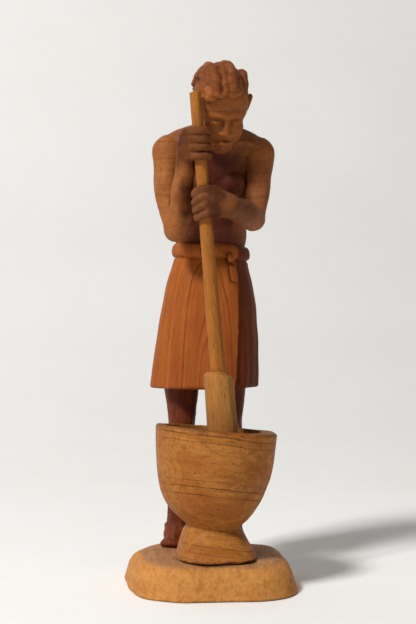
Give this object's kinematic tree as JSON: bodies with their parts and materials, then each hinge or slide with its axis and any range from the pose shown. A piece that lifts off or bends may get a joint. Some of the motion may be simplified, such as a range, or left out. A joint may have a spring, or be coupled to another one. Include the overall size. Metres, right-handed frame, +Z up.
{
  "type": "carved wooden figure",
  "caption": "Carved wooden standing figure in a wrapped skirt that holds a sliding pestle in both fists over a footed mortar, on a round-cornered slab.",
  "frame": {"origin": "near the middle of the slab's underside, on the table", "axes": "+Z up, the figure faces -Y, +X towards the figure's left hand and the viewer's right"},
  "size_m": [0.0616, 0.0675, 0.1972],
  "materials": {
    "golden_wood": "hand-carved, lightly oiled",
    "straw_wood": "whittled, bare",
    "orange_wood": "hand-carved, satin",
    "brown_wood": "hand-carved, satin",
    "dark_wood": "hand-carved heartwood, satin"
  },
  "bodies": {
    "figure": {"base_slab": "golden_wood", "mortar": "golden_wood", "skirt": "orange_wood", "torso": "dark_wood", "head": "brown_wood", "right_arm": "brown_wood", "left_arm": "brown_wood", "right_leg": "dark_wood", "left_leg": "dark_wood", "mortar_dowel": "straw_wood", "neck_dowel": "straw_wood", "right_shoulder_dowel": "straw_wood", "left_shoulder_dowel": "straw_wood", "right_foot_dowel": "straw_wood", "left_foot_dowel": "straw_wood"},
    "pestle": {"pestle": "straw_wood"}
  },
  "joints": [
    {"name": "pestle_slide", "type": "slide", "parent": "figure", "child": "pestle", "axis": [-0.0885, -0.0337, 0.9955], "range_m": [0, 0.04]}
  ]
}
